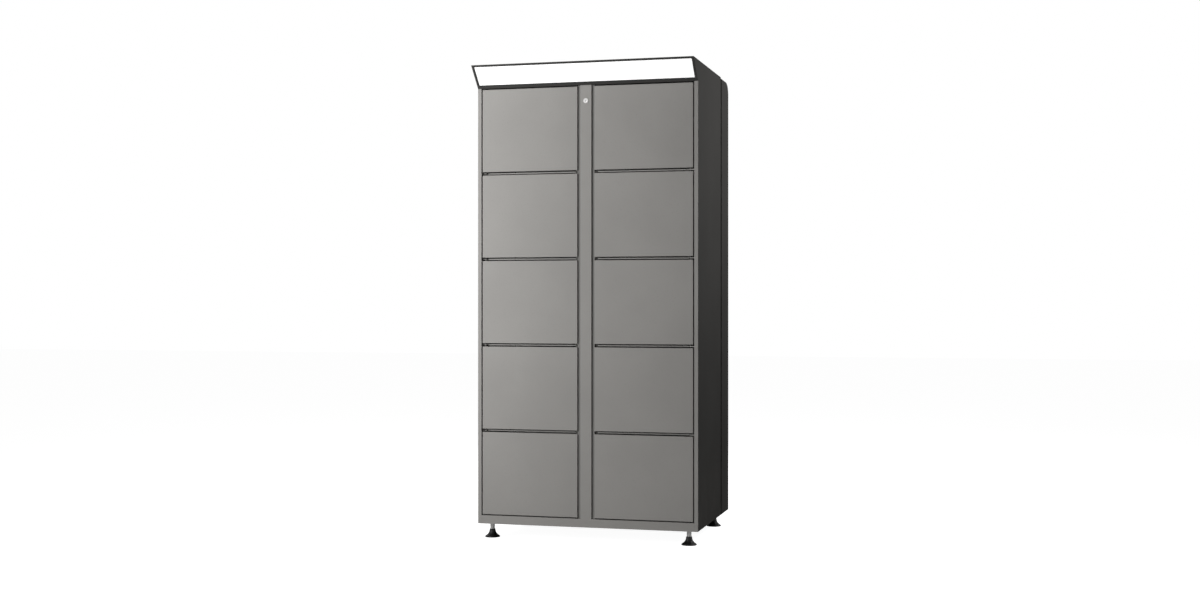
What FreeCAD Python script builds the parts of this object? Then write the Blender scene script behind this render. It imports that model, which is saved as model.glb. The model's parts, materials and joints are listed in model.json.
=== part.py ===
import FreeCAD, Part
import math
import os

from FreeCAD import Vector

# Modular ten-door parcel locker: +Z up, front towards -Y, origin under the middle of its box.

# Cabinet, in millimetres
body_width = 920.0
main_depth = 498.0          # front face to the seam of the rear cover
cover_depth = 192.0         # rear cover behind the seam
foot_height = 60.0          # floor to the underside of the base
header_rise = 85.0
header_overhang = 85.0      # how far the header leans out at its top
skin = 2.0                  # outer sheet
liner = 1.5                 # inner sheet

# Front frame and door grid
rows = 5
door_height = 337.0
row_gap = 14.0
door_gap = 5.0              # hinge side, top and bottom
lock_gap = 13.0             # between a door and the mullion
stile_width = 15.0
mullion_width = 46.0
shoulder_depth = 8.0        # mullion's shoulders behind its face
shoulder_clearance = 2.0    # shoulder to a door's free edge
rail_height = 34.0

# Folded door pan
door_depth = 20.0
door_lip = 12.0
door_edge_radius = 1.2
stop_gap = 2.5              # door back to jamb
bumper_clearance = 0.3
bumper_width = 6.0
bumper_length = 24.0
bumper_spacing = 240.0
stiffener_width = 60.0
stiffener_depth = 12.0
stiffener_flange = 14.0

# Concealed pivots
pin_radius = 3.0
pin_clearance = 0.05
pin_reach = 9.0             # pin length inside a door
pin_tail = 4.0              # pin length beyond a rail flange
pivot_inset = 10.0          # from the door's hinge edge
pivot_depth = 8.0           # behind the door's front
pivot_block = 12.0
ear_thickness = 3.0
ear_margin = 7.0
ear_setback = 2.0

# Hook lock: striker on the door, latch in a housing behind the jamb
striker_setback = 3.5       # from the door's free edge
striker_thickness = 2.5
striker_reach = 40.0        # beyond the door's back
striker_height = 32.0
window_end = 5.5            # metal behind the striker's window
window_length = 11.5
window_height = 14.0
slot_outer = 1.5            # slot clearance towards the compartment
slot_inner = 4.0            # slot clearance for the swing of the striker
slot_margin = 4.0           # slot clearance above and below
divider_clearance = 1.0
housing_clearance = 0.2
housing_thickness = 14.0
housing_height = 60.0
housing_end = 12.0          # housing behind the latch pivot
latch_setback = 12.0        # latch pivot behind the striker's tip
latch_inset = 6.3           # latch pivot inside the housing's face
latch_thickness = 4.0
latch_arm = 28.0
latch_width = 7.0
latch_tail = 5.0            # latch behind its pivot
latch_pin_radius = 2.5
latch_nose_width = 6.0
latch_nose_reach = 6.0
latch_play = 0.5

# Shelves
shelf_thickness = 5.0
nose_setback = 14.0         # shelf nose behind the front face
nose_margin = 1.5           # shelf nose beside a pivot ear

# Header sign
sign_top_border = 8.0
sign_bottom_border = 13.5
sign_side_border = 7.5
sign_corner_radius = 5.0
fascia_thickness = 2.0
fascia_lap = 1.0
light_width = 8.0
light_height = 14.0
light_margin = 60.0
top_rail_upstand = 22.0

# Rear cover
cover_roll = 55.0           # rolled rear edge of the cover's top
cover_corner = 10.0
groove_width = 22.0
groove_depth = 8.0
wall_hole_radius = 5.0
wall_hole_spacing = 600.0
wall_hole_margin = 300.0    # from the cover's top and bottom
vent_width = 5.0
vent_height = 60.0
vent_pitch = 16.0
vents_across = 9
vent_drop = 150.0           # below the cover's top
cable_hole_radius = 13.0
cable_hole_x = 300.0
cable_hole_height = 110.0   # above the base
grommet_wall = 4.0
grommet_flange = 3.0

# Controls on the back panel, inside the rear cover
board_width = 220.0
board_height = 140.0
board_thickness = 1.6
board_centre_height = 1500.0
spacer_length = 10.0
spacer_radius = 4.0
spacer_inset = 10.0
socket_width = 12.0
socket_height = 10.0
socket_depth = 9.0
relay_width = 16.0
supply_width = 110.0
supply_height = 215.0
supply_depth = 50.0
supply_spacing = 158.5      # clear height between the board and the supply
supply_foot = 14.0

# Key lock in the mullion
key_drop = 58.0             # below the top of the doors
key_flange_radius = 10.0
key_flange = 2.0
key_body_radius = 8.0
key_body_length = 20.0
key_plug_radius = 5.5
key_plug_clearance = 0.05
key_plug_proud = 0.4
keyway_width = 1.4
keyway_height = 7.0
keyway_depth = 9.0
key_nut_flats = 24.0
key_nut_thickness = 4.0
cam_clearance = 1.5         # cam behind the jamb
cam_thickness = 2.5
cam_width = 13.0
cam_length = 30.0

# Levelling feet
foot_inset = 46.0           # from the sides
front_foot_depth = 50.0     # behind the front face
rear_foot_inset = 110.0     # from the rear face
stud_radius = 10.0
stud_clearance = 0.05
stud_tail = 14.0            # above the base plate
stud_seat = 8.0             # pad material under the stud
pad_radius = 31.0
pad_rim = 4.0
pad_neck_radius = 14.0
pad_neck = 7.0              # straight length of the neck
pad_height = 33.0
foot_nut_flats = 30.0
foot_nut_height = 12.0

half_width = body_width / 2
total_depth = header_overhang + main_depth + cover_depth
front = -total_depth / 2 + header_overhang
seam = front + main_depth
rear = seam + cover_depth
jamb = front + door_depth + stop_gap
jamb_back = jamb + liner
door_width = half_width - stile_width - door_gap - lock_gap - mullion_width / 2
row_pitch = door_height + row_gap
rail_top = foot_height + rail_height
first_door = rail_top + door_gap
last_door_top = first_door + rows * row_pitch - row_gap
head = last_door_top + door_gap
top = head + header_rise
slope = math.hypot(header_rise, header_overhang)
sheet_run = skin * slope / header_rise

# Sizes of the left column; the right one is its mirror image
hinge_edge = -half_width + stile_width + door_gap
free_edge = hinge_edge + door_width
pivot_x = hinge_edge + pivot_inset
pivot_y = front + pivot_depth
striker_face = free_edge - striker_setback
striker_tip = front + door_depth + striker_reach
slot_face = striker_face + slot_inner
slot_back = striker_face - striker_thickness - slot_outer
divider_face = slot_back - divider_clearance
housing_face = slot_face + housing_clearance
latch_x = housing_face + latch_inset
latch_y = striker_tip + latch_setback
key_z = last_door_top - key_drop


def block(x0, x1, y0, y1, z0, z1):
    return Part.makeBox(x1 - x0, y1 - y0, z1 - z0, Vector(x0, y0, z0))


def post(x, y, z0, z1, radius):
    return Part.makeCylinder(radius, z1 - z0, Vector(x, y, z0), Vector(0, 0, 1))


def bolt(x, z, y0, y1, radius):
    return Part.makeCylinder(radius, y1 - y0, Vector(x, y0, z), Vector(0, 1, 0))


def hexagon(flats, length):
    corner = flats / math.sqrt(3)
    points = []
    for step in range(7):
        angle = math.radians(60 * step)
        points.append(Vector(corner * math.cos(angle), corner * math.sin(angle), 0))
    return Part.Face(Part.makePolygon(points)).extrude(Vector(0, 0, length))


def upright(points, z0, z1):
    """A profile drawn in plan and pulled upwards."""
    outline = [Vector(x, y, z0) for x, y in points]
    return Part.Face(Part.makePolygon(outline + outline[:1])).extrude(Vector(0, 0, z1 - z0))


def across(points, x0, x1):
    """A profile drawn in side view and pulled across the cabinet."""
    outline = [Vector(x0, y, z) for y, z in points]
    return Part.Face(Part.makePolygon(outline + outline[:1])).extrude(Vector(x1 - x0, 0, 0))


def edges_along(shape, direction):
    found = []
    for edge in shape.Edges:
        ends = edge.Vertexes
        if len(ends) == 2:
            run = ends[1].Point.sub(ends[0].Point)
            if run.Length > 0 and run.cross(direction).Length < 1e-6 * run.Length:
                found.append(edge)
    return found


def on_side(shape, side):
    if side == "left":
        return shape
    return shape.mirror(Vector(0, 0, 0), Vector(1, 0, 0))


def group(shapes):
    return Part.makeCompound(shapes)


def save(name, shape):
    shape.exportStep("parts/" + name + ".step")


def door_bottom(row):
    return first_door + row * row_pitch


def door_middle(row):
    return door_bottom(row) + door_height / 2


def gap_middle(row):
    """Middle of the gap above a door of this row."""
    return door_bottom(row) + door_height + row_gap / 2


def header_point(along, depth):
    """Side-view point on the leaning header: along its slope, and depth behind its face."""
    y = front + (-header_overhang * along + header_rise * depth) / slope
    z = head + (header_rise * along + header_overhang * depth) / slope
    return (y, z)


def side_panel():
    outline = [
        (front + skin, foot_height),
        (front + skin, head),
        (front, head),
        (front - header_overhang, top),
        (seam, top),
        (seam, foot_height),
    ]
    return across(outline, -half_width, -half_width + skin)


def stile():
    outer = -half_width
    inner = outer + stile_width
    folded = upright([
        (outer, front),
        (inner, front),
        (inner, jamb),
        (outer + skin, jamb),
        (outer + skin, jamb - skin),
        (inner - skin, jamb - skin),
        (inner - skin, front + skin),
        (outer, front + skin),
    ], foot_height, head)
    for row in range(rows - 1):
        low = gap_middle(row) - ear_thickness / 2
        ear = block(inner, pivot_x + ear_margin, front + ear_setback, jamb, low, low + ear_thickness)
        folded = folded.fuse(ear.cut(post(pivot_x, pivot_y, low, low + ear_thickness, pin_radius)))
    return folded.removeSplitter()


def bottom_rail():
    inner = half_width - stile_width
    rail = across([
        (front, foot_height),
        (front, rail_top),
        (jamb_back, rail_top),
        (jamb_back, rail_top - skin),
        (front + skin, rail_top - skin),
        (front + skin, foot_height),
    ], -inner, inner)
    for x in (-pivot_x, pivot_x):
        rail = rail.cut(post(x, pivot_y, rail_top - skin, rail_top, pin_radius))
    return rail


def top_rail():
    inner = half_width - skin
    rail = across([
        (front + sheet_run, head),
        (jamb_back, head),
        (jamb_back, head + top_rail_upstand),
        (jamb_back - skin, head + top_rail_upstand),
        (jamb_back - skin, head + skin),
        (front + sheet_run, head + skin),
    ], -inner, inner)
    for x in (-pivot_x, pivot_x):
        rail = rail.cut(post(x, pivot_y, head, head + skin, pin_radius))
    return rail


def mullion():
    """A folded post whose shoulders close the lock gaps a little behind its face."""
    edge = mullion_width / 2
    wing = edge + lock_gap - shoulder_clearance
    step = front + shoulder_depth
    right_half = [
        (edge, front),
        (edge, step),
        (wing, step),
        (wing, jamb),
        (wing - skin, jamb),
        (wing - skin, step + skin),
        (edge - skin, step + skin),
        (edge - skin, front + skin),
    ]
    left_half = [(-x, y) for x, y in reversed(right_half)]
    channel = upright(right_half + left_half, rail_top, head)
    return channel.cut(bolt(0, key_z, front, front + skin, key_body_radius))


def divider():
    inner = -mullion_width / 2 + skin
    wall = upright([
        (divider_face - liner, jamb),
        (inner, jamb),
        (inner, jamb_back),
        (divider_face, jamb_back),
        (divider_face, seam - liner),
        (divider_face - liner, seam - liner),
    ], rail_top, head)
    half_slot = striker_height / 2 + slot_margin
    for row in range(rows):
        z = door_middle(row)
        wall = wall.cut(block(slot_back, slot_face, jamb, jamb_back, z - half_slot, z + half_slot))
    return wall


def shelf(row):
    """A tray in a row gap: flat top, and a folded nose between the doors."""
    high = gap_middle(row) + shelf_thickness / 2
    low = high - shelf_thickness
    left = -half_width + skin
    right = divider_face - liner
    sheet = block(left, right, jamb_back, seam - liner, high - liner, high)
    nose = across([
        (front + nose_setback, low),
        (front + nose_setback, high),
        (jamb_back, high),
        (jamb_back, high - liner),
        (front + nose_setback + liner, high - liner),
        (front + nose_setback + liner, low + liner),
        (jamb_back, low + liner),
        (jamb_back, low),
    ], pivot_x + ear_margin + nose_margin, right)
    return sheet.fuse(nose).removeSplitter()


def stiffener(z0, z1):
    """A hat section welded upright to the inside of a door."""
    middle = (hinge_edge + free_edge) / 2
    base = front + skin
    crown = base + stiffener_depth
    half = stiffener_width / 2
    brim = half + stiffener_flange
    outline = [
        (brim, base),
        (brim, base + liner),
        (half, base + liner),
        (half, crown),
        (-half, crown),
        (-half, base + liner),
        (-brim, base + liner),
        (-brim, base),
        (-half + liner, base),
        (-half + liner, crown - liner),
        (half - liner, crown - liner),
        (half - liner, base),
    ]
    return upright([(middle + x, y) for x, y in outline], z0, z1)


def door(row):
    low = door_bottom(row)
    high = low + door_height
    back = front + door_depth
    pan = block(hinge_edge, free_edge, front, back, low, high)
    face_edges = [e for e in pan.Edges if e.BoundBox.YMax < front + skin / 2]
    pan = pan.makeFillet(door_edge_radius, face_edges)
    pan = pan.cut(block(hinge_edge + skin, free_edge - skin, front + skin, back - skin,
                        low + skin, high - skin))
    reach = skin + door_lip
    pan = pan.cut(block(hinge_edge + reach, free_edge - reach, back - skin, back,
                        low + reach, high - reach))
    half_block = pivot_block / 2
    for start, end in ((low, low + pin_reach), (high - pin_reach, high)):
        pan = pan.fuse(block(pivot_x - half_block, pivot_x + half_block, front + skin,
                             pivot_y + half_block, start + skin / 2, end - skin / 2))
        pan = pan.cut(post(pivot_x, pivot_y, start, end, pin_radius + pin_clearance))
    return pan.fuse(stiffener(low + reach, high - reach)).removeSplitter()


def striker(row):
    """A plate welded to the door's back lip, with a window for the latch's nose."""
    inner = striker_face - striker_thickness
    z = door_middle(row)
    plate = block(inner, striker_face, front + door_depth, striker_tip,
                  z - striker_height / 2, z + striker_height / 2)
    end = striker_tip - window_end
    return plate.cut(block(inner, striker_face, end - window_length, end,
                           z - window_height / 2, z + window_height / 2))


def latch(row):
    """A hook lever: nose, arm and an eight-sided eye round its pivot."""
    z = door_middle(row) - latch_thickness / 2
    arm = latch_width / 2
    end = latch_tail
    cut = latch_tail * math.tan(math.radians(22.5))
    outline = [
        (-latch_nose_reach, -latch_arm),
        (arm, -latch_arm),
        (arm, -end),
        (end, -cut),
        (end, cut),
        (cut, end),
        (-cut, end),
        (-end, cut),
        (-end, -cut),
        (-arm, -end),
        (-arm, -latch_arm + latch_nose_width),
        (-latch_nose_reach, -latch_arm + latch_nose_width),
    ]
    lever = upright([(latch_x + x, latch_y + y) for x, y in outline], z, z + latch_thickness)
    return lever.cut(post(latch_x, latch_y, z, z + latch_thickness, latch_pin_radius + pin_clearance))


def lock_housing(row):
    z = door_middle(row)
    back = latch_y + housing_end
    case = block(housing_face, housing_face + housing_thickness, jamb_back, back,
                 z - housing_height / 2, z + housing_height / 2)
    half_pocket = latch_thickness / 2 + latch_play
    room = latch_tail / math.cos(math.radians(22.5)) + latch_play
    pocket = block(housing_face, latch_x + room,
                   latch_y - latch_arm - 2 * latch_play, latch_y + room,
                   z - half_pocket, z + half_pocket)
    pivot = post(latch_x, latch_y, z - half_pocket, z + half_pocket, latch_pin_radius)
    return case.cut(pocket).fuse(pivot).removeSplitter()


def bumper(row, offset):
    x = divider_face - liner
    z = door_middle(row) + offset - bumper_length / 2
    return block(x, x + bumper_width, front + door_depth + bumper_clearance, jamb, z, z + bumper_length)


def hinge_pins():
    pins = [post(pivot_x, pivot_y, rail_top - skin - pin_tail, first_door + pin_reach, pin_radius)]
    half_length = row_gap / 2 + pin_reach
    for row in range(rows - 1):
        z = gap_middle(row)
        pins.append(post(pivot_x, pivot_y, z - half_length, z + half_length, pin_radius))
    pins.append(post(pivot_x, pivot_y, last_door_top - pin_reach, head + skin + pin_tail, pin_radius))
    return pins


def header_window(lap, depth0, depth1):
    """The sign's opening, grown by a lap, as a slab between two depths behind the header's face."""
    start = sign_bottom_border - lap
    end = slope - sign_top_border + lap
    x = half_width - sign_side_border + lap
    slab = across([
        header_point(start, depth0),
        header_point(end, depth0),
        header_point(end, depth1),
        header_point(start, depth1),
    ], -x, x)
    inward = Vector(0, header_rise, header_overhang)
    return slab.makeFillet(sign_corner_radius, edges_along(slab, inward))


def header_frame():
    inner = half_width - skin
    sheet = across([
        (front, head),
        (front - header_overhang, top),
        (front - header_overhang + sheet_run, top),
        (front + sheet_run, head),
    ], -inner, inner)
    return sheet.cut(header_window(0, -skin, 2 * skin))


def header_fascia():
    return header_window(fascia_lap, skin, skin + fascia_thickness)


def light_strip():
    x = half_width - light_margin
    back = jamb_back - skin
    low = head + skin
    return across([
        (back, low),
        (back, low + light_height),
        (back - light_width / 2, low + light_height),
        (back - light_width, low + light_height / 2),
        (back - light_width, low),
    ], -x, x)


def roof_panel():
    inner = half_width - skin
    start = front - header_overhang + sheet_run + skin * header_overhang / header_rise
    return block(-inner, inner, start, seam, top - skin, top)


def base_plate():
    inner = half_width - skin
    between = half_width - stile_width
    plate = block(-inner, inner, jamb, seam, foot_height, foot_height + skin)
    plate = plate.fuse(block(-between, between, front + skin, jamb, foot_height, foot_height + skin))
    tail = block(-half_width, half_width, seam, rear, foot_height, foot_height + skin)
    corners = [e for e in edges_along(tail, Vector(0, 0, 1)) if e.BoundBox.YMin > seam + skin]
    plate = plate.fuse(tail.makeFillet(cover_corner, corners)).removeSplitter()
    for x, y in foot_places().values():
        plate = plate.cut(post(x, y, foot_height, foot_height + skin, stud_radius + stud_clearance))
    return plate


def rounded_cover(inset, start, end):
    """A block with a rolled rear top edge and rounded corners, inset from the cabinet's outer faces."""
    low = foot_height + skin
    side = half_width - inset
    high = top - inset
    shape = block(-side, side, start, end, low, high)
    rolled = [e for e in edges_along(shape, Vector(1, 0, 0))
              if e.BoundBox.YMin > start + skin and e.BoundBox.ZMin > low + skin]
    shape = shape.makeFillet(cover_roll - inset, rolled)
    chosen = []
    for edge in shape.Edges:
        box = edge.BoundBox
        on_end = box.XMax - box.XMin < skin / 2
        at_front = box.YMax < start + skin / 2
        at_bottom = box.ZMax < low + skin / 2
        if on_end and not at_front and not at_bottom:
            chosen.append(edge)
    return shape.makeFillet(cover_corner - inset, chosen)


def rear_cover():
    step = seam + groove_width
    rim = groove_depth + skin
    low = foot_height + skin
    shell = rounded_cover(0, step, rear)
    shell = shell.cut(rounded_cover(skin, step + skin, rear - skin))
    shell = shell.fuse(block(-half_width + groove_depth, half_width - groove_depth, seam, step,
                             low, top - groove_depth))
    shell = shell.cut(block(-half_width + rim, half_width - rim, seam, step + skin, low, top - rim))
    for x in (-wall_hole_spacing / 2, wall_hole_spacing / 2):
        for z in (foot_height + wall_hole_margin, top - wall_hole_margin):
            shell = shell.cut(bolt(x, z, rear - skin, rear, wall_hole_radius))
    for place in range(vents_across):
        x = (place - (vents_across - 1) / 2) * vent_pitch
        high = top - vent_drop
        shell = shell.cut(block(x - vent_width / 2, x + vent_width / 2, rear - skin, rear,
                                high - vent_height, high))
    z = foot_height + cable_hole_height
    shell = shell.cut(bolt(cable_hole_x, z, rear - skin, rear, cable_hole_radius))
    return shell.removeSplitter()


def cable_grommet():
    """A closed rubber grommet, inside the hole and flanged behind the sheet."""
    z = foot_height + cable_hole_height
    plug = bolt(cable_hole_x, z, rear - skin - grommet_flange, rear, cable_hole_radius)
    flange = bolt(cable_hole_x, z, rear - skin - grommet_flange, rear - skin,
                  cable_hole_radius + grommet_wall)
    bore = bolt(cable_hole_x, z, rear - skin, rear, cable_hole_radius - grommet_wall)
    return plug.fuse(flange).cut(bore).removeSplitter()


def back_panel():
    inner = half_width - skin
    return block(-inner, inner, seam - liner, seam, foot_height + skin, top - skin)


def floor_panel():
    inner = half_width - skin
    return block(-inner, inner, jamb_back, seam - liner, rail_top - liner, rail_top)


def ceiling_panel():
    inner = half_width - skin
    return block(-inner, inner, jamb_back, seam - liner, head, head + liner)


def board_corners():
    x = board_width / 2 - spacer_inset
    z = board_height / 2 - spacer_inset
    return [(sx * x, board_centre_height + sz * z) for sx in (-1, 1) for sz in (-1, 1)]


def control_board():
    front_face = seam + spacer_length
    back_face = front_face + board_thickness
    low = board_centre_height - board_height / 2
    board = block(-board_width / 2, board_width / 2, front_face, back_face, low, low + board_height)
    pitch = (board_width - 4 * spacer_inset) / (2 * rows)
    for place in range(2 * rows):
        x = -board_width / 2 + 2 * spacer_inset + pitch * place
        z = low + spacer_inset
        board = board.fuse(block(x, x + socket_width, back_face, back_face + socket_depth,
                                 z, z + socket_height))
        z = board_centre_height
        board = board.fuse(block(x, x + socket_width, back_face, back_face + 2 * socket_depth,
                                 z, z + relay_width))
    return board.removeSplitter()


def power_supply():
    x = supply_width / 2
    z = supply_height / 2
    middle = board_centre_height - board_height / 2 - supply_spacing - supply_foot - z
    case = block(-x, x, seam, seam + supply_depth, middle - z, middle + z)
    foot = block(-x, x, seam, seam + skin, middle - z - supply_foot, middle + z + supply_foot)
    return case.fuse(foot).removeSplitter()


def key_barrel():
    end = front + key_body_length
    barrel = bolt(0, key_z, front - key_flange, front, key_flange_radius)
    barrel = barrel.fuse(bolt(0, key_z, front, end, key_body_radius))
    return barrel.cut(bolt(0, key_z, front - key_flange, end, key_plug_radius + key_plug_clearance))


def cam_front():
    return max(jamb_back, front + key_body_length) + cam_clearance


def key_plug():
    start = front - key_flange - key_plug_proud
    plug = bolt(0, key_z, start, cam_front(), key_plug_radius)
    return plug.cut(block(-keyway_width / 2, keyway_width / 2, start, start + keyway_depth,
                          key_z - keyway_height / 2, key_z + keyway_height / 2))


def key_cam():
    start = cam_front()
    end = start + cam_thickness
    bar = block(-cam_width / 2, cam_width / 2, start, end, key_z - cam_length, key_z)
    return bar.fuse(bolt(0, key_z, start, end, cam_width / 2)).removeSplitter()


def key_nut():
    nut = hexagon(key_nut_flats, key_nut_thickness)
    nut = nut.cut(Part.makeCylinder(key_body_radius, key_nut_thickness))
    nut.rotate(Vector(0, 0, 0), Vector(1, 0, 0), -90)
    nut.translate(Vector(0, front + skin, key_z))
    return nut


def foot_places():
    x = half_width - foot_inset
    return {
        "front_left": (-x, front + front_foot_depth),
        "front_right": (x, front + front_foot_depth),
        "rear_left": (-x, rear - rear_foot_inset),
        "rear_right": (x, rear - rear_foot_inset),
    }


def foot_stud(x, y):
    return post(x, y, stud_seat, foot_height + skin + stud_tail, stud_radius)


def foot_pad(x, y):
    """A flared pad turned round the stud, with a socket for it."""
    flare = pad_radius - pad_neck_radius
    rise = pad_height - pad_neck - pad_rim
    profile = [
        (0, 0),
        (pad_radius, 0),
        (pad_radius, pad_rim),
        (pad_neck_radius + flare / 2, pad_rim + rise / 3),
        (pad_neck_radius + flare / 8, pad_rim + rise * 2 / 3),
        (pad_neck_radius, pad_height - pad_neck),
        (pad_neck_radius, pad_height),
        (stud_radius, pad_height),
        (stud_radius, stud_seat),
        (0, stud_seat),
    ]
    outline = [Vector(r, 0, z) for r, z in profile]
    face = Part.Face(Part.makePolygon(outline + outline[:1]))
    pad = face.revolve(Vector(0, 0, 0), Vector(0, 0, 1), 360)
    pad.translate(Vector(x, y, 0))
    return pad


def foot_nut(x, y):
    nut = hexagon(foot_nut_flats, foot_nut_height)
    nut = nut.cut(Part.makeCylinder(stud_radius + stud_clearance, foot_nut_height))
    nut.translate(Vector(x, y, foot_height + skin))
    return nut


os.makedirs("parts", exist_ok=True)

housings = []
bumpers = []
pins = []
for side in ("left", "right"):
    save(side + "_side_panel", on_side(side_panel(), side))
    save(side + "_stile", on_side(stile(), side))
    save(side + "_divider", on_side(divider(), side))
    save(side + "_shelves", group([on_side(shelf(row), side) for row in range(rows - 1)]))
    for row in range(rows):
        number = str(row + 1)
        save(side + "_door_" + number, on_side(group([door(row), striker(row)]), side))
        save(side + "_latch_" + number, on_side(latch(row), side))
        housings.append(on_side(lock_housing(row), side))
        for offset in (-bumper_spacing / 2, bumper_spacing / 2):
            bumpers.append(on_side(bumper(row, offset), side))
    for pin in hinge_pins():
        pins.append(on_side(pin, side))
save("lock_housings", group(housings))
save("door_bumpers", group(bumpers))
save("hinge_pins", group(pins))

save("bottom_rail", bottom_rail())
save("top_rail", top_rail())
save("centre_mullion", mullion())
save("base_plate", base_plate())
save("floor_panel", floor_panel())
save("ceiling_panel", ceiling_panel())
save("roof_panel", roof_panel())
save("back_panel", back_panel())
save("rear_cover", rear_cover())
save("cable_grommet", cable_grommet())
save("header_frame", header_frame())
save("header_fascia", header_fascia())
save("light_strip", light_strip())
save("control_board", control_board())
save("board_spacers", group([bolt(x, z, seam, seam + spacer_length, spacer_radius)
                             for x, z in board_corners()]))
save("power_supply", power_supply())
save("key_barrel", key_barrel())
save("key_plug", key_plug())
save("key_cam", key_cam())
save("key_nut", key_nut())

for place, (x, y) in foot_places().items():
    save(place + "_stud", foot_stud(x, y))
    save(place + "_pad", foot_pad(x, y))
save("foot_nuts", group([foot_nut(x, y) for x, y in foot_places().values()]))
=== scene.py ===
import json
import math
import bmesh
import bpy
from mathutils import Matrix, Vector


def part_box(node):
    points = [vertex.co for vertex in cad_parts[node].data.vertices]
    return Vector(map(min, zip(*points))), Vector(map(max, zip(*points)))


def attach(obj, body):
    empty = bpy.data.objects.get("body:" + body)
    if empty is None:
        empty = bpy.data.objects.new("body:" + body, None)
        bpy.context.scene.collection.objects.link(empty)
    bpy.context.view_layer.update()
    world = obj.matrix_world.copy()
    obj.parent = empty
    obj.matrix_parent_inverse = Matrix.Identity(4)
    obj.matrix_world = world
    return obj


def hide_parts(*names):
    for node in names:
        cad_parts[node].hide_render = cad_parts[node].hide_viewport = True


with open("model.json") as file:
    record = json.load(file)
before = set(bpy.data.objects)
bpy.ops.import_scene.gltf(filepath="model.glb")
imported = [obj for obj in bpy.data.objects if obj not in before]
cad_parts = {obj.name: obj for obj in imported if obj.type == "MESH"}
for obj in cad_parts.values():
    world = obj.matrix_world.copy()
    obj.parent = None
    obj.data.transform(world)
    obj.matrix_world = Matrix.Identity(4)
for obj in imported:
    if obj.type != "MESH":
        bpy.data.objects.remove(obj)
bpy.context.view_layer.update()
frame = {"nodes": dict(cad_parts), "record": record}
nodes = frame["nodes"]
record = frame["record"]
bodyOf = {node: body for body, held in record["behaviour"]["bodies"].items() for node in held}
slotOf = {part["node"]: part["material_slot"] for part in record["subparts"]}
doorPlaces = [(side, row) for side in ("left", "right") for row in range(1, 6)]
doorNames = ["%s_door_%d" % place for place in doorPlaces]
latchNames = ["%s_latch_%d" % place for place in doorPlaces]
print("frame loaded,", len(nodes), "nodes")


# shader maths

class Wire:
    def __init__(self, tree, socket=None):
        self.tree = tree
        self.socket = socket

    def feed(self, target, value):
        if isinstance(value, Wire):
            self.tree.links.new(value.socket, target)
        else:
            target.default_value = value

    def node(self, kind, settings=None, values=None, out=0):
        made = self.tree.nodes.new(kind)
        for name, value in (settings or {}).items():
            setattr(made, name, value)
        for name, value in (values or {}).items():
            self.feed(made.inputs[name], value)
        return Wire(self.tree, made.outputs[out])

    def maths(self, operation, first, second=0.0):
        return self.node("ShaderNodeMath", {"operation": operation}, {0: first, 1: second})

    def __add__(self, other):
        return self.maths("ADD", self, other)

    def __radd__(self, other):
        return self.maths("ADD", other, self)

    def __sub__(self, other):
        return self.maths("SUBTRACT", self, other)

    def __rsub__(self, other):
        return self.maths("SUBTRACT", other, self)

    def __mul__(self, other):
        return self.maths("MULTIPLY", self, other)

    def __rmul__(self, other):
        return self.maths("MULTIPLY", other, self)

    def axis(self, name):
        return self.node("ShaderNodeSeparateXYZ", None, {"Vector": self}, name)

    def smooth(self, low, high):
        return self.node("ShaderNodeMapRange", {"interpolation_type": "SMOOTHSTEP"},
                         {"Value": self, "From Min": low, "From Max": high}, "Result")

    def noise(self, scale, detail, roughness):
        return self.node("ShaderNodeTexNoise", None,
                         {"Vector": self, "Scale": scale, "Detail": detail, "Roughness": roughness}, "Fac")

    def tint(self, amount, first, second):
        return self.node("ShaderNodeMix", {"data_type": "RGBA"}, {0: amount, 6: first, 7: second}, 2)

    def bump(self, height, strength, distance):
        return self.node("ShaderNodeBump", None,
                         {"Height": height, "Strength": strength, "Distance": distance})


def startMaterial(name):
    material = bpy.data.materials.new(name)
    material.use_nodes = True
    tree = material.node_tree
    shader = tree.nodes["Principled BSDF"]
    place = Wire(tree).node("ShaderNodeTexCoord", None, None, "Object")
    return material, shader, place


def grey(value, warm=0.0):
    return (value, value * (1 - warm * 0.4), value * (1 - warm), 1.0)     # a warm grey loses blue before green


# powder coat: a fine orange peel, faint clouding, dust low down and hand marks near the middle

frontPaintLook = {"level": 0.30, "warm": 0.07, "grain": 700.0, "rough": 0.50, "peel": 0.10, "gloss": 0.12}
innerPaintLook = {"level": 0.35, "warm": 0.06, "grain": 600.0, "rough": 0.52, "peel": 0.08, "gloss": 0.15}
carcassPaintLook = {"level": 0.058, "warm": 0.06, "grain": 650.0, "rough": 0.70, "peel": 0.14, "gloss": 0.0}
paintWear = {
    "cloudScale": 2.3, "cloudEdge": (0.3, 0.7), "cloudTone": 0.045, "cloudRough": 0.12,
    "speckScale": 180.0, "speckEdge": (0.62, 0.74), "speckTone": 0.86, "speckShare": 0.25,
    "dustScale": 9.0, "dustHeights": (0.05, 0.45), "dustGrey": grey(0.30, 0.12), "dustShare": 0.10,
    "dustRough": 0.08,
    "handScale": 16.0, "handReach": (0.05, 0.17), "handTone": 0.6, "handShare": 0.06, "handPolish": 0.06,
    "peelDepth": 0.0004,
}


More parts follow.
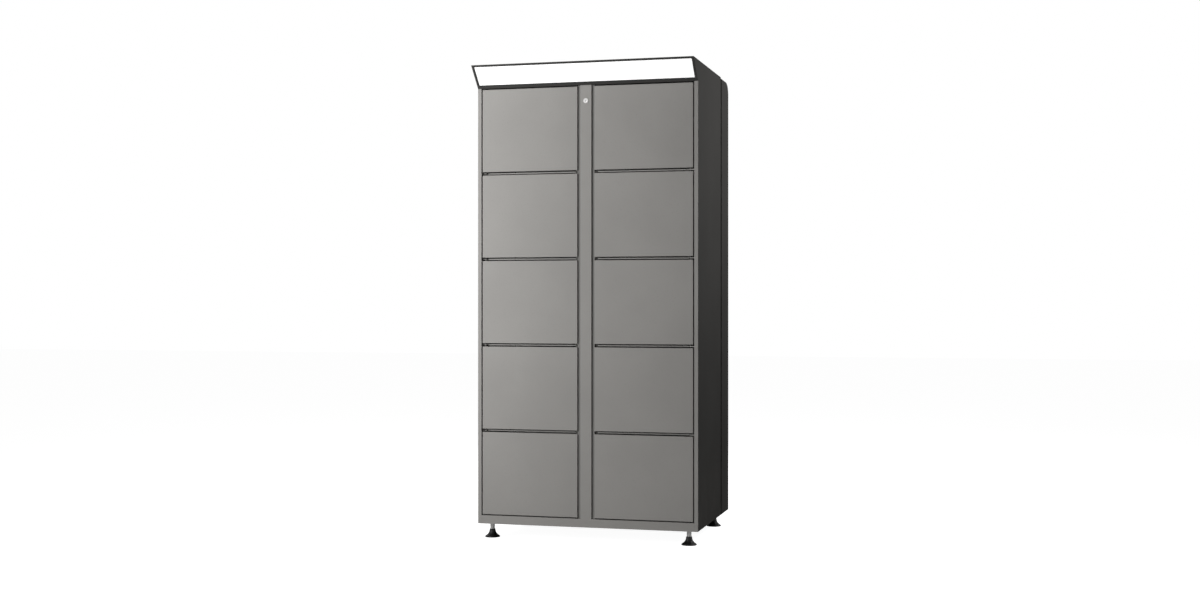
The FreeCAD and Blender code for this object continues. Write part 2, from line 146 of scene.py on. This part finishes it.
def powderCoat(name, look):
    material, shader, place = startMaterial(name)
    level, warm, wear = look["level"], look["warm"], paintWear
    peel = place.noise(look["grain"], detail=2.0, roughness=0.6)
    cloud = place.noise(wear["cloudScale"], detail=4.0, roughness=0.55)
    speck = place.noise(wear["speckScale"], detail=1.0, roughness=0.5).smooth(*wear["speckEdge"])
    clean = place.axis("Z").smooth(*wear["dustHeights"])
    dust = (1 - clean) * place.noise(wear["dustScale"], detail=3.0, roughness=0.6)
    across = place.axis("X")
    untouched = across.maths("ABSOLUTE", across).smooth(*wear["handReach"])
    handled = (1 - untouched) * place.noise(wear["handScale"], detail=4.0, roughness=0.6)
    base = place.tint(cloud.smooth(*wear["cloudEdge"]), grey(level * (1 - wear["cloudTone"]), warm),
                      grey(level * (1 + wear["cloudTone"]), warm))
    base = place.tint(speck * wear["speckShare"], base, grey(level * wear["speckTone"], warm))
    base = place.tint(dust * wear["dustShare"], base, wear["dustGrey"])
    base = place.tint(handled * wear["handShare"], base, grey(level * wear["handTone"], warm))
    rough = look["rough"] + (cloud - 0.5) * wear["cloudRough"] + dust * wear["dustRough"]
    place.feed(shader.inputs["Base Color"], base)
    place.feed(shader.inputs["Roughness"], rough - handled * wear["handPolish"])
    shader.inputs["Specular IOR Level"].default_value = look["gloss"]
    place.feed(shader.inputs["Normal"], place.bump(peel, look["peel"], wear["peelDepth"]))
    return material


# opal acrylic of the sign, evenly lit from behind

signLook = {"white": 0.88, "glow": 0.55, "rough": 0.28, "hazeScale": 6.0, "hazeTone": 0.985, "hazeWarm": 0.004,
            "hazeRough": 0.06, "dimGlow": (0.985, 0.985, 0.98, 1.0), "fullGlow": (1.0, 1.0, 1.0, 1.0)}


def opalSign():
    material, shader, place = startMaterial("opalSign")
    haze = place.noise(signLook["hazeScale"], detail=3.0, roughness=0.5)
    white = signLook["white"]
    base = place.tint(haze, grey(white * signLook["hazeTone"], signLook["hazeWarm"]), grey(white))
    place.feed(shader.inputs["Base Color"], base)
    place.feed(shader.inputs["Roughness"], signLook["rough"] + haze * signLook["hazeRough"])
    place.feed(shader.inputs["Emission Color"], place.tint(haze, signLook["dimGlow"], signLook["fullGlow"]))
    shader.inputs["Emission Strength"].default_value = signLook["glow"]
    return material


# metals with faint streaks along the way they were drawn or turned

metalWear = {"streakScale": 90.0, "streakRough": 0.14, "streakBump": 0.12, "streakDepth": 0.0002,
             "cloudScale": 14.0, "cloudTone": 0.92, "warm": (0.01, 0.03)}


def plainMetal(name, level, rough, stretch):
    material, shader, place = startMaterial(name)
    wear = metalWear
    drawn = place.node("ShaderNodeMapping", None, {"Vector": place, "Scale": stretch}, "Vector")
    streak = drawn.noise(wear["streakScale"], detail=3.0, roughness=0.6)
    cloud = place.noise(wear["cloudScale"], detail=2.0, roughness=0.5)
    base = place.tint(cloud, grey(level * wear["cloudTone"], wear["warm"][0]), grey(level, wear["warm"][1]))
    place.feed(shader.inputs["Base Color"], base)
    shader.inputs["Metallic"].default_value = 1.0
    place.feed(shader.inputs["Roughness"], rough + (streak - 0.5) * wear["streakRough"])
    place.feed(shader.inputs["Normal"], place.bump(streak, wear["streakBump"], wear["streakDepth"]))
    return material


# rubber, nylon and other mouldings, with a fine grain and pale scuffs

mouldWear = {"grainScale": 420.0, "grainBump": 0.18, "grainDepth": 0.0003, "warm": (0.02, 0.04),
             "scuffScale": 35.0, "scuffEdge": (0.55, 0.8), "scuffTone": 2.4, "scuffPalest": 0.8,
             "scuffShare": 0.4, "scuffRough": 0.15}


def moulding(name, level, rough, gloss):
    material, shader, place = startMaterial(name)
    wear = mouldWear
    grain = place.noise(wear["grainScale"], detail=2.0, roughness=0.6)
    scuff = place.noise(wear["scuffScale"], detail=4.0, roughness=0.65).smooth(*wear["scuffEdge"])
    pale = min(level * wear["scuffTone"], wear["scuffPalest"])
    base = place.tint(scuff * wear["scuffShare"], grey(level, wear["warm"][0]), grey(pale, wear["warm"][1]))
    place.feed(shader.inputs["Base Color"], base)
    place.feed(shader.inputs["Roughness"], rough + scuff * wear["scuffRough"])
    shader.inputs["Specular IOR Level"].default_value = gloss
    place.feed(shader.inputs["Normal"], place.bump(grain, wear["grainBump"], wear["grainDepth"]))
    return material


# control board: green resist over lighter tracks

boardLook = {"resist": (0.012, 0.085, 0.035, 1.0), "track": (0.03, 0.17, 0.075, 1.0), "trackScale": 220.0,
             "trackEdge": (0.5, 0.56), "rough": 0.34, "trackRough": 0.1}


def greenBoard():
    material, shader, place = startMaterial("greenBoard")
    track = place.noise(boardLook["trackScale"], detail=1.0, roughness=0.4).smooth(*boardLook["trackEdge"])
    place.feed(shader.inputs["Base Color"], place.tint(track, boardLook["resist"], boardLook["track"]))
    place.feed(shader.inputs["Roughness"], boardLook["rough"] + track * boardLook["trackRough"])
    return material


finish = {
    "front_paint": powderCoat("frontPaint", frontPaintLook),
    "inner_paint": powderCoat("innerPaint", innerPaintLook),
    "carcass_paint": powderCoat("carcassPaint", carcassPaintLook),
    "sign_white": opalSign(),
    "lamp": moulding("lampDiffuser", level=0.6, rough=0.4, gloss=0.5),
    "steel": plainMetal("platedSteel", level=0.42, rough=0.36, stretch=(1.0, 1.0, 12.0)),
    "zinc": plainMetal("castZinc", level=0.50, rough=0.46, stretch=(1.0, 1.0, 1.0)),
    "chrome": plainMetal("brightChrome", level=0.72, rough=0.16, stretch=(1.0, 1.0, 1.0)),
    "rubber": moulding("blackRubber", level=0.016, rough=0.75, gloss=0.3),
    "foot_plastic": moulding("footPlastic", level=0.005, rough=0.42, gloss=0.2),
    "board": greenBoard(),
}
blackened = plainMetal("blackenedSteel", level=0.03, rough=0.5, stretch=(1.0, 1.0, 8.0))

for node, slot in slotOf.items():
    mesh = nodes[node].data
    mesh.materials.clear()
    mesh.materials.append(blackened if node == "hinge_pins" else finish[slot])
print("materials made:", len(finish) + 1)


# modelling tools

mergeReach = 1e-6                 # metres, for meshes made here
cadMergeReach = 1e-5              # for the loose triangles of a CAD node
flatJoin = math.radians(0.4)      # CAD triangles that meet flatter than this become one face
sharpBend = math.radians(50)      # edges that bend more than this are broken


def letGo():
    if bpy.context.mode != "OBJECT":
        bpy.ops.object.mode_set(mode="OBJECT")
    bpy.ops.object.select_all(action="DESELECT")


def takeUp(piece):
    letGo()
    piece.select_set(True)
    bpy.context.view_layer.objects.active = piece


def settle(piece):
    takeUp(piece)
    bpy.ops.object.transform_apply(location=True, rotation=True, scale=True)


def edit(piece, mode):
    takeUp(piece)
    bpy.ops.object.mode_set(mode="EDIT")
    bpy.ops.mesh.select_mode(type=mode)
    bpy.ops.mesh.select_all(action="SELECT")


def pick(piece, mode, test):
    bpy.ops.mesh.select_mode(type=mode)
    bpy.ops.mesh.select_all(action="DESELECT")
    mesh = bmesh.from_edit_mesh(piece.data)
    for part in (mesh.edges if mode == "EDGE" else mesh.faces):
        if test(part):
            part.select_set(True)
    bmesh.update_edit_mesh(piece.data)


def breakEdges(width, segments):
    bpy.ops.mesh.bevel(offset=width, segments=segments, affect="EDGES", clamp_overlap=True)


def extrude(way):
    bpy.ops.mesh.extrude_region_move(TRANSFORM_OT_translate={"value": way})


def applyModifier(piece, kind, settings):
    takeUp(piece)
    modifier = piece.modifiers.new("step", kind)
    for name, value in settings.items():
        setattr(modifier, name, value)
    bpy.ops.object.modifier_apply(modifier="step")


def finishPiece(piece, body, slot, material=None, smoothAngle=38.0):
    settle(piece)
    bpy.ops.object.shade_smooth_by_angle(angle=math.radians(smoothAngle))
    applyModifier(piece, "WEIGHTED_NORMAL", {"weight": 100, "keep_sharp": True})  # broad faces stay flat
    if material or not piece.data.materials:      # a softened CAD node keeps its own
        piece.data.materials.clear()
        piece.data.materials.append(material or finish[slot])
    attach(piece, body)


def turned(name, rings, sides=40, hollow=False):
    # a lathe by hand: a disc, or an open ring for a bush, drawn out along Z ring after ring
    radius, height = rings[0]
    letGo()
    bpy.ops.mesh.primitive_circle_add(vertices=sides, radius=radius, location=(0, 0, height),
                                      fill_type="NOTHING" if hollow else "NGON")
    piece = bpy.context.object
    piece.name = name
    edit(piece, "EDGE" if hollow else "FACE")
    for nextRadius, nextHeight in rings[1:]:
        extrude((0, 0, nextHeight - height))
        ratio = nextRadius / radius
        bpy.ops.transform.resize(value=(ratio, ratio, 1), center_override=(0, 0, nextHeight))
        radius, height = nextRadius, nextHeight
    bpy.ops.mesh.select_all(action="SELECT")
    bpy.ops.mesh.remove_doubles(threshold=mergeReach)
    bpy.ops.mesh.normals_make_consistent(inside=False)
    settle(piece)
    return piece


def block(name, low, high):
    low, high = Vector(low), Vector(high)
    letGo()
    bpy.ops.mesh.primitive_cube_add(size=1, location=(low + high) / 2, scale=high - low)
    piece = bpy.context.object
    piece.name = name
    settle(piece)
    return piece


def copyTo(piece, name, place):
    # a copy of a shape made at the origin, with its own mesh, set down at its place
    takeUp(piece)
    bpy.ops.object.duplicate(linked=False)
    other = bpy.context.object
    other.name = name
    other.location = place
    settle(other)
    return other


def joinUp(pieces):
    takeUp(pieces[0])
    for piece in pieces:
        piece.select_set(True)
    bpy.ops.object.join()
    return pieces[0]


def faceRearwards(piece):
    piece.rotation_euler = (math.radians(-90), 0, 0)
    settle(piece)


def cutAway(piece, cutter):
    applyModifier(piece, "BOOLEAN", {"operation": "DIFFERENCE", "solver": "EXACT", "object": cutter})
    bpy.data.objects.remove(cutter)


# sheet metal and castings: each CAD node's edges are broken as a press, a brake or a file leaves them

softEdges = {
    "sheet": {"width": 0.0005, "shortest": 0.012, "segments": 2},
    "cover": {"width": 0.0004, "shortest": 0.030, "segments": 2},
    "casting": {"width": 0.0006, "shortest": 0.003, "segments": 2},
    "fine": {"width": 0.0003, "shortest": 0.0015, "segments": 2},
}
softNodes = {
    "sheet": ["left_side_panel", "right_side_panel", "left_stile", "right_stile", "left_divider",
              "right_divider", "left_shelves", "right_shelves", "bottom_rail", "top_rail",
              "centre_mullion", "base_plate", "roof_panel", "header_frame", "header_fascia"] + doorNames,
    "cover": ["rear_cover"],
    "casting": ["lock_housings", "door_bumpers", "power_supply", "foot_nuts", "key_nut"],
    "fine": ["key_barrel", "key_plug", "key_cam"] + latchNames,
}


def softCopy(node, look):
    piece = bpy.data.objects.new(node + "_soft", nodes[node].data.copy())
    bpy.context.scene.collection.objects.link(piece)
    edit(piece, "EDGE")
    bpy.ops.mesh.remove_doubles(threshold=cadMergeReach)
    bpy.ops.mesh.dissolve_limited(angle_limit=flatJoin)
    pick(piece, "EDGE", lambda edge: edge.calc_length() > look["shortest"] and len(edge.link_faces) == 2
         and edge.calc_face_angle(0.0) > sharpBend)
    breakEdges(look["width"], look["segments"])
    letGo()
    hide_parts(node)
    finishPiece(piece, bodyOf[node], slotOf[node])


for kind, names in softNodes.items():
    for node in names:
        softCopy(node, softEdges[kind])
print("edges softened on", sum(len(names) for names in softNodes.values()), "nodes")


# levelling feet: threaded stud in a smooth flared pad, both just inside the CAD outline

footLook = {
    "inside": 0.999,
    "padSides": 72, "padSmooth": 60.0,
    "flare": [(1.0, 0.0), (1.0, 0.07), (0.975, 0.12), (0.88, 0.19), (0.75, 0.28), (0.63, 0.38),
              (0.54, 0.49), (0.47, 0.61), (0.425, 0.74), (0.40, 0.88), (0.395, 0.97), (0.37, 1.0)],
    "pitch": 0.0025, "depth": 0.0011, "flank": 0.46, "overlap": 0.0002, "start": 0.75, "steps": 28,
    "tip": 0.9, "lowChamfer": 0.0006, "topChamfer": 0.001, "studSmooth": 30.0,
}


def footSize(node):
    low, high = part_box(node)
    return (high.x - low.x) / 2 * footLook["inside"], high.z - low.z      # radius and height


def footPad():
    radius, tall = footSize("front_left_pad")
    rings = [(radius * wide, tall * rise) for wide, rise in footLook["flare"]]
    return turned("footPad", rings, footLook["padSides"])


def footStud():
    radius, tall = footSize("front_left_stud")
    pitch = footLook["pitch"]
    root = radius - footLook["depth"]
    tip = root * footLook["tip"]
    core = turned("footStud", [(tip, 0.0), (root, footLook["lowChamfer"]),
                               (root, tall - footLook["topChamfer"]), (tip, tall)])
    letGo()
    bpy.ops.mesh.primitive_circle_add(vertices=3, radius=pitch / 2, fill_type="NOTHING", location=(0, 0, 0))
    ridge = bpy.context.object        # the thread's section, wound round the core
    inner, half = root - footLook["overlap"], pitch * footLook["flank"]
    for vertex, corner in zip(ridge.data.vertices, [(inner, 0, -half), (radius, 0, 0), (inner, 0, half)]):
        vertex.co = corner
    applyModifier(ridge, "SCREW", {
        "axis": "Z", "angle": math.radians(360), "screw_offset": pitch, "use_merge_vertices": False,
        "iterations": int((tall - 2 * pitch) / pitch),
        "steps": footLook["steps"], "render_steps": footLook["steps"]})
    ridge.location = (0, 0, pitch * footLook["start"])
    edit(ridge, "EDGE")
    bpy.ops.mesh.remove_doubles(threshold=mergeReach)
    bpy.ops.mesh.fill_holes(sides=4)
    bpy.ops.mesh.select_all(action="SELECT")
    bpy.ops.mesh.normals_make_consistent(inside=False)
    return joinUp([core, ridge])


def setFoot(shape, node, name, slot, smoothAngle):
    low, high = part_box(node)
    piece = copyTo(shape, name, ((low.x + high.x) / 2, (low.y + high.y) / 2, low.z))
    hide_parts(node)
    finishPiece(piece, bodyOf[node], slot, smoothAngle=smoothAngle)


pad, stud = footPad(), footStud()
for corner in ("front_left", "front_right", "rear_left", "rear_right"):
    setFoot(pad, corner + "_pad", corner + "_padFlare", "foot_plastic", footLook["padSmooth"])
    setFoot(stud, corner + "_stud", corner + "_studThread", "steel", footLook["studSmooth"])
bpy.data.objects.remove(pad)
bpy.data.objects.remove(stud)
print("feet made")


# pivot bushes: black nylon, between each door's foot and the ear or rail under it

bushLook = {"outer": 0.0052, "bore": 0.00305, "earGap": 0.0055, "railGap": 0.005, "play": 0.0003,
            "chamfer": 0.0006, "sides": 32}


def pivotBush(gap):
    tall = gap - bushLook["play"]
    outer, bore, chamfer = bushLook["outer"], bushLook["bore"], bushLook["chamfer"]
    rings = [(bore, 0.0), (outer, 0.0), (outer, tall - chamfer), (outer - chamfer, tall),
             (bore, tall), (bore, 0.0)]
    return turned("pivotBush", rings, bushLook["sides"], hollow=True)


def pivotBushes():
    bushes = {gap: pivotBush(bushLook[gap]) for gap in ("earGap", "railGap")}
    for joint in record["behaviour"]["joints"]:
        if joint["name"].startswith("door_"):
            side, row = joint["name"].split("_")[1:3]
            gap = "railGap" if row == "1" else "earGap"
            x, y = joint["pos_m"][:2]
            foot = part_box(joint["child"])[0].z
            bush = copyTo(bushes[gap], "pivotBush_%s_%s" % (side, row), (x, y, foot - bushLook[gap]))
            finishPiece(bush, "carcass", "rubber")
    for bush in bushes.values():
        bpy.data.objects.remove(bush)


pivotBushes()
print("pivot bushes made")


# countersunk screws that hold the rear cover, sunk in its sheet

screwLook = {
    "head": 0.0046, "shank": 0.0025, "deep": 0.0017, "sunk": 0.0002, "rim": 0.0004, "edge": 0.0002,
    "key": 0.0016, "keyDepth": 0.0022, "sides": 24, "smooth": 25.0,
    "sinkPlay": 0.0002, "sinkFloor": 0.00005, "sinkLip": 0.0001, "sinkOver": 0.001,
    "inset": 0.030, "heights": [0.06, 0.34, 0.62, 0.90],      # from the cover's sides, and up its height
}


def coverScrew():
    head, sunk, edge = screwLook["head"] - screwLook["rim"], screwLook["sunk"], screwLook["edge"]
    rings = [(screwLook["shank"], -screwLook["deep"] - sunk), (head, -sunk - edge), (head - edge, -sunk)]
    screw = turned("coverScrew", rings, screwLook["sides"])
    letGo()
    bpy.ops.mesh.primitive_cylinder_add(vertices=6, radius=screwLook["key"], depth=screwLook["keyDepth"],
                                        location=(0, 0, 0))
    cutAway(screw, bpy.context.object)
    faceRearwards(screw)
    return screw


def countersink():
    head, lip = screwLook["head"], screwLook["sinkLip"]
    floor = -screwLook["deep"] - screwLook["sunk"] - screwLook["sinkFloor"]
    rings = [(screwLook["shank"] + screwLook["sinkPlay"], floor), (head, -lip),
             (head + lip, screwLook["sinkOver"])]
    sink = turned("countersink", rings, screwLook["sides"])
    faceRearwards(sink)
    return sink


def coverScrews():
    screw, sink = coverScrew(), countersink()
    low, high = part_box("rear_cover")
    cover = bpy.data.objects["rear_cover_soft"]
    for side, way in (("left", -1), ("right", 1)):
        for share in screwLook["heights"]:
            place = (way * (high.x - screwLook["inset"]), high.y, low.z + share * (high.z - low.z))
            cutAway(cover, copyTo(sink, "countersinkCut", place))
            fixed = copyTo(screw, "coverScrew_%s_%d" % (side, round(share * 100)), place)
            finishPiece(fixed, "carcass", "steel", smoothAngle=screwLook["smooth"])
    bpy.data.objects.remove(screw)
    bpy.data.objects.remove(sink)


coverScrews()
print("rear cover screwed on")


# black L-section strips in the groove between the body and the rear cover, their lip against the back panel:
# painted shade that darkens the groove and covers its front wall

grooveShadeLook = {"thick": 0.0015, "groove": 0.022, "margin": 0.0003, "rib": 0.006, "ribRise": 0.001,
            "lip": 0.002, "lipRise": 0.004, "rounding": 0.0004, "segments": 2, "facing": 0.9}


def grooveShadeStrip(name, low, high, outwards):
    strip = block(name, low, high)
    outwards = Vector(outwards)
    lipEnd = low[1] + grooveShadeLook["lip"]

    def outer(face):
        return face.normal.dot(outwards) > grooveShadeLook["facing"]

    edit(strip, "FACE")
    bpy.ops.mesh.bisect(plane_co=(0, lipEnd, 0), plane_no=(0, 1, 0))
    pick(strip, "FACE", lambda face: outer(face) and face.calc_center_median().y > lipEnd)
    bpy.ops.mesh.inset(thickness=grooveShadeLook["rib"], depth=0.0)
    extrude(outwards * grooveShadeLook["ribRise"])
    pick(strip, "FACE", lambda face: outer(face) and face.calc_center_median().y < lipEnd)
    extrude(outwards * grooveShadeLook["lipRise"])
    pick(strip, "EDGE", lambda edge: edge.calc_face_angle(0.0) > sharpBend)
    breakEdges(grooveShadeLook["rounding"], grooveShadeLook["segments"])
    finishPiece(strip, "carcass", "rubber")


def grooveShadeStrips():
    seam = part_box("right_side_panel")[1].y
    front, back = seam + grooveShadeLook["margin"], seam + grooveShadeLook["groove"] - grooveShadeLook["margin"]
    flange = [v.co for v in nodes["rear_cover"].data.vertices if v.co.y < seam + grooveShadeLook["groove"] / 2]
    side = max(co.x for co in flange)
    top = max(co.z for co in flange)
    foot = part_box("rear_cover")[0].z + grooveShadeLook["margin"]
    thick = grooveShadeLook["thick"]
    crown = top + thick + grooveShadeLook["lipRise"]
    # these black strips are painted shade along the groove's sides and top
    grooveShadeStrip("grooveShade_right", (side, front, foot), (side + thick, back, crown), (1, 0, 0))
    grooveShadeStrip("grooveShade_left", (-side - thick, front, foot), (-side, back, crown), (-1, 0, 0))
    grooveShadeStrip("grooveShade_top", (-side, front, top), (side, back, top + thick), (0, 0, 1))


grooveShadeStrips()
print("seam groove shaded")


# grey strips on the mullion's shoulders, beside the doors' free edges: painted shade, darker than the front
# paint, standing in for the shade in the lock-side gaps

shadeStripLook = {"recess": 0.008, "thick": 0.002, "play": 0.0003, "overhang": 0.0012, "beyond": 0.004,
              "rounding": 0.0005, "segments": 3, "longEdge": 0.1, "onLedge": 1e-4}
# level 0.21, below the front paint's 0.30, is painted shade for the gaps beside the mullion
shadeStripFinish = {"level": 0.21, "warm": 0.06, "grain": 900.0, "rough": 0.75, "peel": 0.05, "gloss": 0.1}
shadeStripGrey = powderCoat("shadeStripGrey", shadeStripFinish)


def mullionShadeStrip(name, way):
    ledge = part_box("centre_mullion")[0].y + shadeStripLook["recess"]
    reach = [abs(v.co.x) for v in nodes["centre_mullion"].data.vertices
             if abs(v.co.y - ledge) < shadeStripLook["onLedge"]]
    inner, outer = min(reach) + shadeStripLook["play"], max(reach) + shadeStripLook["overhang"]
    near, far = sorted((way * inner, way * outer))
    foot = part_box("left_door_1")[0].z - shadeStripLook["beyond"]
    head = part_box("left_door_5")[1].z + shadeStripLook["beyond"]
    strip = block(name, (near, ledge - shadeStripLook["thick"], foot), (far, ledge, head))
    edit(strip, "EDGE")
    pick(strip, "EDGE", lambda edge: edge.calc_length() > shadeStripLook["longEdge"])
    breakEdges(shadeStripLook["rounding"], shadeStripLook["segments"])
    finishPiece(strip, "carcass", "rubber", shadeStripGrey)


mullionShadeStrip("mullionShadeStrip_left", -1)
mullionShadeStrip("mullionShadeStrip_right", 1)
print("mullion gaps shaded")


# spot welds where the stiffener's flanges meet the back of a door

weldLook = {"radius": 0.0028, "rise": 0.0003, "sunk": 0.0002, "brow": 0.75, "dimple": 0.5, "dimpleRise": 0.4,
            "sides": 12, "offset": 0.037, "depth": 0.0035, "margin": 0.035, "count": 6}


def weldMark():
    radius, rise = weldLook["radius"], weldLook["rise"]
    rings = [(radius, -weldLook["sunk"]), (radius, 0.0), (radius * weldLook["brow"], rise),
             (radius * weldLook["dimple"], rise * weldLook["dimpleRise"])]
    mark = turned("weldMark", rings, weldLook["sides"])
    faceRearwards(mark)
    return mark


def doorWelds():
    mark = weldMark()
    for door in doorNames:
        low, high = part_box(door)
        middle = (low.x + high.x) / 2
        first, last = low.z + weldLook["margin"], high.z - weldLook["margin"]
        step = (last - first) / (weldLook["count"] - 1)
        y = low.y + weldLook["depth"]
        marks = [copyTo(mark, "weldMark", (middle + flange * weldLook["offset"], y, first + number * step))
                 for flange in (-1, 1) for number in range(weldLook["count"])]
        welds = joinUp(marks)
        welds.name = door + "_welds"
        finishPiece(welds, bodyOf[door], "front_paint")
    bpy.data.objects.remove(mark)


doorWelds()
print("doors welded")


# black glazing trim round the sign's window, on the leaning face of the header

trimLook = {"wide": 0.003, "thick": 0.0017, "corner": 0.005, "cornerSteps": 6, "rounding": 0.0003,
            "segments": 2, "sunk": 0.0002}
signSeat = {"lap": 0.001, "behind": 0.002, "plate": 0.002}      # how the sign sits behind its window


def signTrim():
    low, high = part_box("header_fascia")
    headerLow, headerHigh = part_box("header_frame")
    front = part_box("centre_mullion")[0].y
    lean = math.atan2(headerHigh.z - headerLow.z, front - headerLow.y)
    rise, run = math.sin(lean), math.cos(lean)
    lap, behind, plate, sunk = signSeat["lap"], signSeat["behind"], signSeat["plate"], trimLook["sunk"]
    start = (low.z - headerLow.z - behind * run) / rise + lap
    end = (high.z - headerLow.z - (behind + plate) * run) / rise - lap
    reach = (start + end) / 2
    middle = (0.0, front - reach * run + sunk * rise, headerLow.z + reach * rise + sunk * run)
    letGo()
    bpy.ops.mesh.primitive_plane_add(size=1, location=middle, rotation=(math.pi - lean, 0, 0))
    trim = bpy.context.object
    trim.name = "signTrim"
    trim.scale = (2 * (high.x - lap), end - start, 1)
    settle(trim)
    edit(trim, "VERT")
    bpy.ops.mesh.bevel(offset=trimLook["corner"], segments=trimLook["cornerSteps"], affect="VERTICES")
    bpy.ops.mesh.select_mode(type="FACE")
    bpy.ops.mesh.select_all(action="SELECT")
    bpy.ops.mesh.inset(thickness=trimLook["wide"], depth=0.0)
    bpy.ops.mesh.delete(type="FACE")
    applyModifier(trim, "SOLIDIFY", {"thickness": trimLook["thick"], "offset": -1})
    applyModifier(trim, "BEVEL", {"width": trimLook["rounding"], "segments": trimLook["segments"]})
    finishPiece(trim, "carcass", "rubber")


signTrim()
print("sign trimmed")


# stage: white floor and surround that still take a soft shadow

stageLook = {"floorGlow": 0.96, "floorTone": 0.50, "bounce": 0.35, "fill": 0.05, "size": 40.0}


def cameraSees(tree):
    path = Wire(tree).node("ShaderNodeLightPath", None, None, "Is Camera Ray")
    node = path.socket.node
    glossy = Wire(tree, node.outputs["Is Glossy Ray"])
    through = Wire(tree, node.outputs["Is Transmission Ray"])
    return path.maths("MAXIMUM", path.maths("MAXIMUM", path, glossy), through)


def makeFloor():
    letGo()
    bpy.ops.mesh.primitive_plane_add(size=stageLook["size"], location=(0, 0, 0))
    floor = bpy.context.object
    floor.name = "studioFloor"
    material = bpy.data.materials.new("studioWhite")
    material.use_nodes = True
    tree = material.node_tree
    tree.nodes.clear()
    wire = Wire(tree)
    bounce = wire.node("ShaderNodeBsdfDiffuse", None, {"Color": grey(stageLook["bounce"])})
    shade = wire.node("ShaderNodeBsdfDiffuse", None, {"Color": grey(stageLook["floorTone"])})
    glow = wire.node("ShaderNodeEmission", None, {"Color": grey(1.0), "Strength": stageLook["floorGlow"]})
    seen = wire.node("ShaderNodeAddShader", None, {0: shade, 1: glow})
    mixed = wire.node("ShaderNodeMixShader", None, {0: cameraSees(tree), 1: bounce, 2: seen})
    output = tree.nodes.new("ShaderNodeOutputMaterial")
    wire.feed(output.inputs["Surface"], mixed)
    floor.data.materials.append(material)


def makeWorld():
    world = bpy.data.worlds.new("studioWorld")
    bpy.context.scene.world = world
    world.use_nodes = True
    tree = world.node_tree
    tree.nodes.clear()
    wire = Wire(tree)
    fill = wire.node("ShaderNodeBackground", None, {"Color": grey(1.0), "Strength": stageLook["fill"]})
    white = wire.node("ShaderNodeBackground", None, {"Color": grey(1.0), "Strength": 1.0})
    mixed = wire.node("ShaderNodeMixShader", None, {0: cameraSees(tree), 1: fill, 2: white})
    output = tree.nodes.new("ShaderNodeOutputWorld")
    wire.feed(output.inputs["Surface"], mixed)


lampSet = {
    "keyLeft": {"place": (-1.45, -1.75, 1.55), "aim": (0.0, -0.3, 1.3), "size": (1.0, 2.4), "watts": 56.5},
    "frontSoft": {"place": (0.9, -5.6, 1.5), "aim": (0.0, -0.3, 1.0), "size": (1.0, 1.0), "watts": 15.0},
    "fillRight": {"place": (2.0, 0.1, 2.1), "aim": (0.46, 0.1, 1.3), "size": (0.8, 0.8), "watts": 26.5},
    "topSoft": {"place": (0.0, 0.1, 3.6), "aim": (0.0, 0.1, 1.9), "size": (0.7, 0.4), "watts": 16.0},
    "rimBack": {"place": (-1.6, 2.6, 1.9), "aim": (0.0, 0.4, 1.0), "size": (1.6, 1.6), "watts": 50.0},
}


def makeLamps():
    for name, lamp in lampSet.items():
        data = bpy.data.lights.new(name, "AREA")
        data.shape = "RECTANGLE"
        data.size, data.size_y = lamp["size"]
        data.energy = lamp["watts"]
        thing = bpy.data.objects.new(name, data)
        bpy.context.scene.collection.objects.link(thing)
        thing.visible_camera = False
        thing.location = lamp["place"]
        aim = Vector(lamp["aim"]) - Vector(lamp["place"])
        thing.rotation_euler = aim.to_track_quat("-Z", "Y").to_euler()


cameraView = {
    "place": (1.632, -6.198, 0.978),    # metres, worked out from the edges in the photograph
    "yaw": 14.94,                       # degrees to the left of straight ahead, held level
    "lens": 45.5,
    "sensor": 36.0,
}


def makeCamera():
    data = bpy.data.cameras.new("photoView")
    data.lens = cameraView["lens"]
    data.sensor_width = cameraView["sensor"]
    camera = bpy.data.objects.new("photoView", data)
    bpy.context.scene.collection.objects.link(camera)
    camera.location = cameraView["place"]
    camera.rotation_euler = (math.radians(90), 0, math.radians(cameraView["yaw"]))
    bpy.context.scene.camera = camera


makeFloor()
makeWorld()
makeLamps()
makeCamera()
bpy.context.scene.view_settings.view_transform = "Standard"
print("stage, lamps and camera set")
